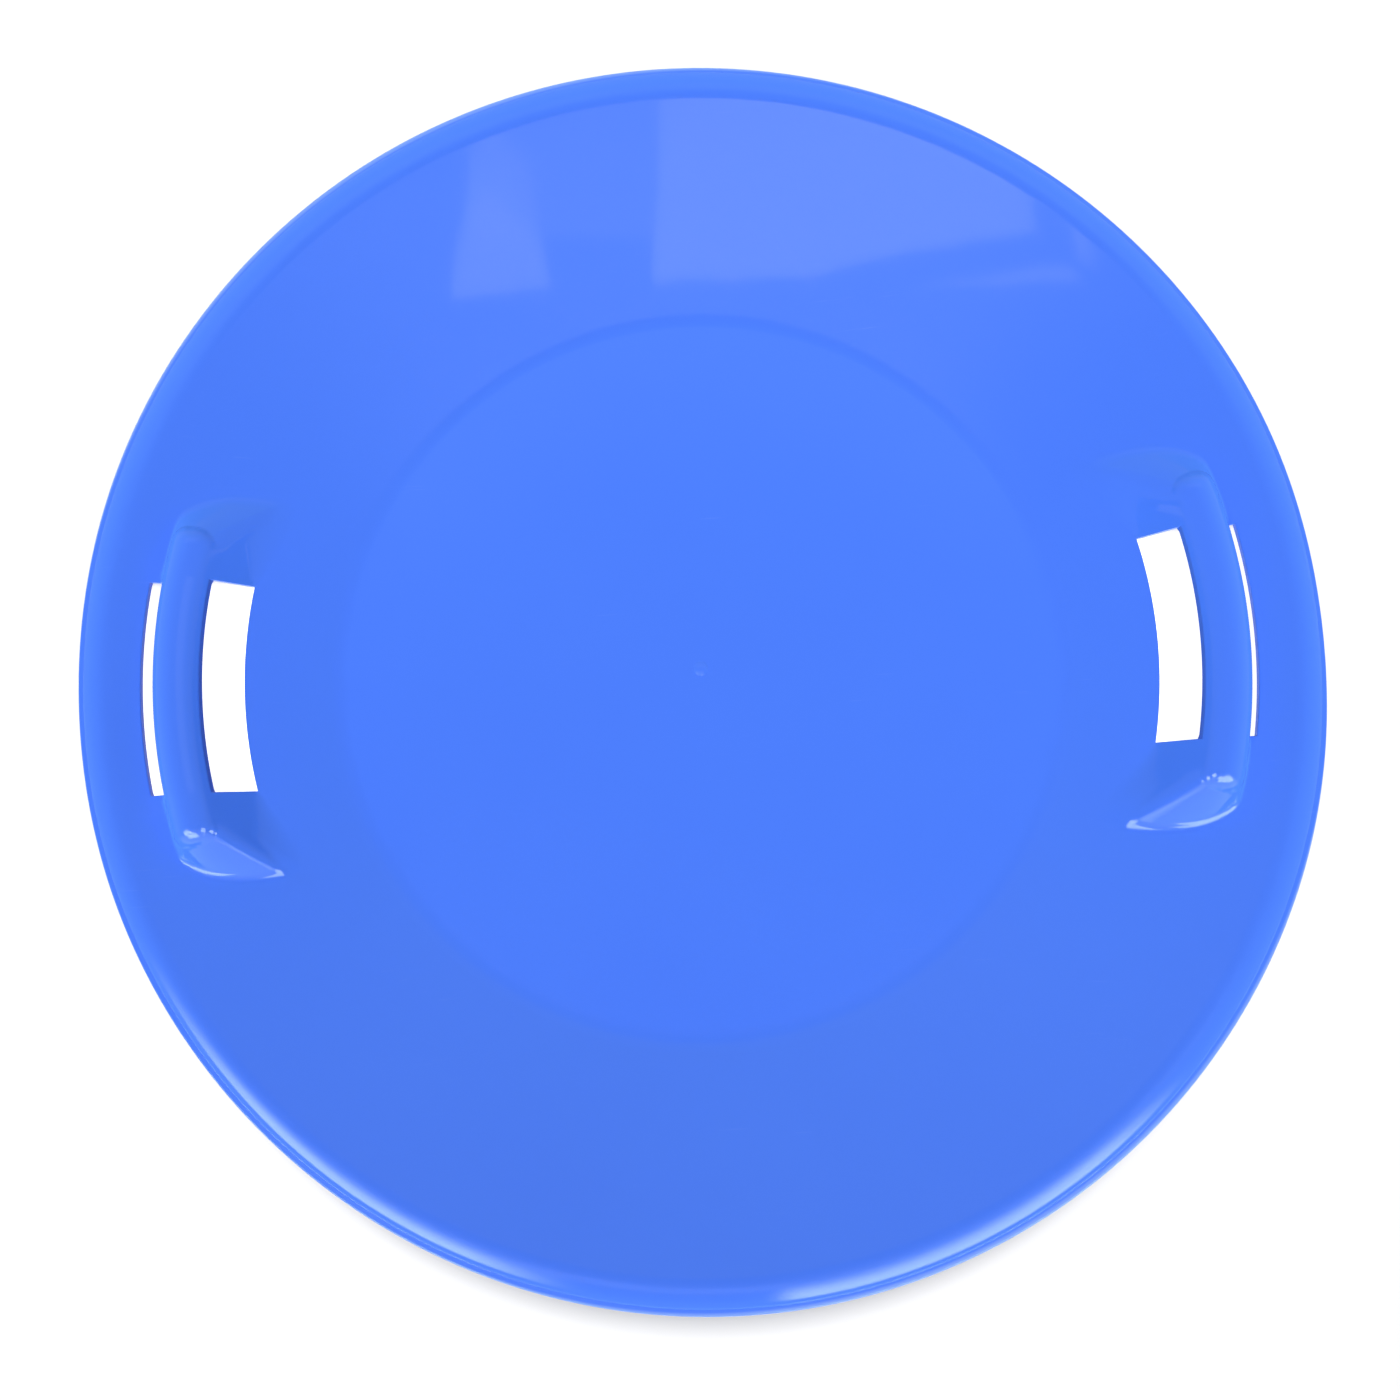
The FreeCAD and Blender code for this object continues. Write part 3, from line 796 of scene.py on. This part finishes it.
def soft_box(name, place, size, light):
    """Square lamp aimed at the sled's middle.

    Its power is the level of light there times the square of pi times its distance.
    """
    lamp = bpy.data.lights.new(name, "AREA")
    lamp.shape = "SQUARE"
    lamp.size = size
    eye = np.array(place, float)
    distance = np.linalg.norm(eye)
    lamp.energy = light * (math.pi * distance) ** 2
    made = add_object(name, lamp)
    back = eye / distance
    right = np.cross((0, 0, 1), back)
    right /= np.linalg.norm(right)
    made.matrix_world = placed(right, np.cross(back, right), back, eye)
    made.visible_camera = False
    made.visible_glossy = False
    return made


def studio_lamps(floor):
    """A large soft lamp over the near side, and a small one over the far side for the floor alone."""
    soft_box("main_lamp", *MAIN_LAMP)
    light_only(soft_box("floor_lamp", *FLOOR_LAMP), [floor])


def glow_material(name, level, tint):
    """Light added to what lies behind it, as strong as the level times the mesh's own glow attribute."""
    material = bare_material(name)
    tree = material.node_tree
    share = node(tree, "ShaderNodeAttribute", {"attribute_name": "glow"}).outputs["Fac"]
    strength = node(tree, "ShaderNodeMath", {"operation": "MULTIPLY", 1: level}, {0: share})
    light = node(tree, "ShaderNodeEmission", {"Color": tint}, {"Strength": strength.outputs["Value"]})
    show_sum(tree, light, node(tree, "ShaderNodeBsdfTransparent"))
    return material


def reflection_card(name, points, faces, glow, level, tint):
    """Lit card that only reflections see."""
    mesh = bpy.data.meshes.new(name)
    mesh.from_pydata(points.tolist(), [], faces)
    mesh.attributes.new("glow", "FLOAT", "POINT").data.foreach_set("value", glow.astype(np.float32))
    mesh.materials.append(glow_material(name, level, tint))
    card = add_object(name, mesh)
    card.visible_camera = False
    card.visible_diffuse = False
    card.visible_shadow = False
    return card


# Window panes: level, and the corners in the ground plan.
PANE_HEIGHT = 8.0
PANES = {
    "narrow_pane": (
        1.9,
        ((2.26, -2.74), (1.92, -3.11), (1.47, -3.42), (0.99, -2.55), (1.04, -2.10), (1.55, -2.48)),
    ),
    "broad_pane": (
        2.0,
        (
            (0.34, -3.83), (-0.64, -3.79), (-1.52, -3.45), (-1.95, -2.90), (-2.21, -2.41), (-2.32, -1.93),
            (-2.32, -1.50), (-1.67, -1.58), (-1.27, -2.09), (-0.65, -2.40), (0.06, -2.41), (0.16, -3.08),
        ),
    ),
    "sliver_pane": (
        1.7,
        ((-2.39, -2.76), (-2.59, -2.10), (-2.58, -1.51), (-2.70, -1.40), (-2.68, -2.05)),
    ),
    "dim_pane": (
        0.6,
        (
            (1.70, -2.66), (1.32, -3.01), (0.83, -3.29), (0.26, -3.44),
            (0.10, -2.41), (0.60, -2.33), (1.04, -2.10), (1.33, -2.39),
        ),
    ),
}


def window_panes(wall):
    """Bright level panes high over the near side, which the wall's far part mirrors as pale patches."""
    for name, (level, plan) in PANES.items():
        points = np.array([(x, y, PANE_HEIGHT) for x, y in plan])
        pane = reflection_card(name, points, [tuple(range(len(plan)))], np.ones(len(plan)), level, WHITE)
        light_only(pane, [wall])


# Bowed cards about the sled, each a little farther out than the last: turn from -Y towards +X and height
# angle, both as start, full, full, end, then the level and the pieces that mirror the card (none: all).
CARD_REACH = 6.0
CARD_GAP = 0.1
CARD_CELLS = (48, 24)
CARDS = {
    "right_card": ((3, 7, 38, 53), (22, 29, 34, 66), 10.5, ("rim_roll",)),
    "left_card": ((-74, -50, -30, -15), (22, 29, 34, 66), 11.0, ("rim_roll",)),
    "right_end_card": ((-20, -14, 38, 53), (30, 34, 46, 50), 12.0, ("right_rear_end",)),
    "right_foot_card": ((-36, -30, 38, 53), (46, 50, 60, 66), 12.0, ("right_rear_end",)),
    "right_tip_card": ((-90, -84, -58, -52), (36, 40, 55, 59), 12.0, ("right_rear_end",)),
    "right_spot_card": ((-80, -73, -60, -53), (11, 15, 23, 27), 14.0, ("right_rear_end",)),
    "right_hip_card": ((-66, -56, -36, -28), (29, 32, 34, 37), 3.0, ("right_rear_end",)),
    "left_end_card": ((-30, -24, 4, 12), (30, 34, 56, 62), 12.0, ("left_rear_end",)),
    "left_foot_card": ((-74, -62, -30, -24), (37, 42, 58, 64), 12.0, ("left_rear_end",)),
    "left_tip_card": ((50, 56, 84, 90), (36, 40, 55, 59), 12.0, ("left_rear_end",)),
    "left_spot_card": ((62, 67, 77, 82), (4, 8, 17, 21), 14.0, ("left_rear_end",)),
    "left_hip_card": ((30, 36, 56, 66), (29, 32, 34, 37), 2.5, ("left_rear_end",)),
    "near_card": ((-64, -48, 48, 64), (-2, 2, 45, 62), 1.9, ("right_rear_end", "left_rear_end")),
    "left_bar_card": ((40, 70, 110, 140), (30, 55, 72, 82), 0.7, ("left_bar",)),
    "gate_card": ((-70, -40, 5, 25), (22, 36, 46, 52), 4.0, ("floor_pan",)),
    "upper_card": ((-80, -40, 40, 80), (48, 60, 69, 78), 0.8, ()),
    "far_card": ((110, 150, 210, 250), (38, 48, 64, 74), 0.4, ()),
}


def bowed_card(name, reach, turns, heights, level):
    """Card bowed round the sled, whose glow fades to its borders.

    At reach R, turn a and height angle b it has x = R sin a, y = -R cos a and z = R tan b.
    """
    turn = np.linspace(turns[0], turns[-1], CARD_CELLS[0] + 1)[:, None]
    height = np.linspace(heights[0], heights[-1], CARD_CELLS[1] + 1)[None, :]
    glow = ramp(turn, *turns[:2]) * (1 - ramp(turn, *turns[2:]))
    glow = glow * ramp(height, *heights[:2]) * (1 - ramp(height, *heights[2:]))
    a, b = np.radians(turn), np.radians(height)
    places = (np.sin(a) + 0 * b, -np.cos(a) + 0 * b, np.tan(b) + 0 * a)
    points = reach * np.stack(places, axis=-1).reshape(-1, 3)
    ids = np.arange(glow.size).reshape(glow.shape)
    quads = np.stack([ids[:-1, :-1], ids[1:, :-1], ids[1:, 1:], ids[:-1, 1:]], axis=-1).reshape(-1, 4)
    return reflection_card(name, points, quads.tolist(), glow.ravel(), level, COOL_WHITE)


def studio_cards(pieces):
    """Cards about the sled: each lights the reflections of the pieces named with it, or of them all."""
    for place, (name, (turns, heights, level, lit)) in enumerate(CARDS.items()):
        card = bowed_card(name, CARD_REACH + CARD_GAP * place, turns, heights, level)
        if lit:
            light_only(card, [pieces[piece] for piece in lit])


# Camera of the photograph: distance, shift and sensor in millimetres, turns in radians, focal length in
# pixels, and the nearest distance that it sees in metres.
PHOTO_PIXELS = 1400
FOCAL_PIXELS = 1067.8
CAMERA_DISTANCE = 600.0
CAMERA_SHIFT = (0.552, 17.17)
CAMERA_TILT = 0.0945
CAMERA_PAN = -0.0075
CAMERA_ROLL = 0.0545
SENSOR = 36.0
CLIP_START = 0.01


def photo_camera():
    """Camera above the dish at the photograph's angle: roll about the sled's axis, then tilt, then pan."""
    c, s = math.cos(CAMERA_ROLL), math.sin(CAMERA_ROLL)
    roll = np.array([[c, -s, 0], [s, c, 0], [0, 0, 1]])
    c, s = math.cos(CAMERA_TILT), math.sin(CAMERA_TILT)
    tilt = np.array([[1, 0, 0], [0, c, s], [0, -s, c]])
    c, s = math.cos(CAMERA_PAN), math.sin(CAMERA_PAN)
    pan = np.array([[c, 0, s], [0, 1, 0], [-s, 0, c]])
    axes = pan @ tilt @ roll
    eye = axes.T @ np.array([-CAMERA_SHIFT[0], -CAMERA_SHIFT[1], CAMERA_DISTANCE]) * MM
    data = bpy.data.cameras.new("photo_camera")
    data.sensor_width = SENSOR
    data.lens = FOCAL_PIXELS / PHOTO_PIXELS * SENSOR
    data.clip_start = CLIP_START
    made = add_object("photo_camera", data)
    made.matrix_world = placed(*axes, eye)
    bpy.context.scene.camera = made


pieces = dress_sled()
studio_lamps(studio_floor())
pale_world()
window_panes(pieces["dish_wall"])
studio_cards(pieces)
photo_camera()
bpy.context.scene.view_settings.view_transform = "Standard"
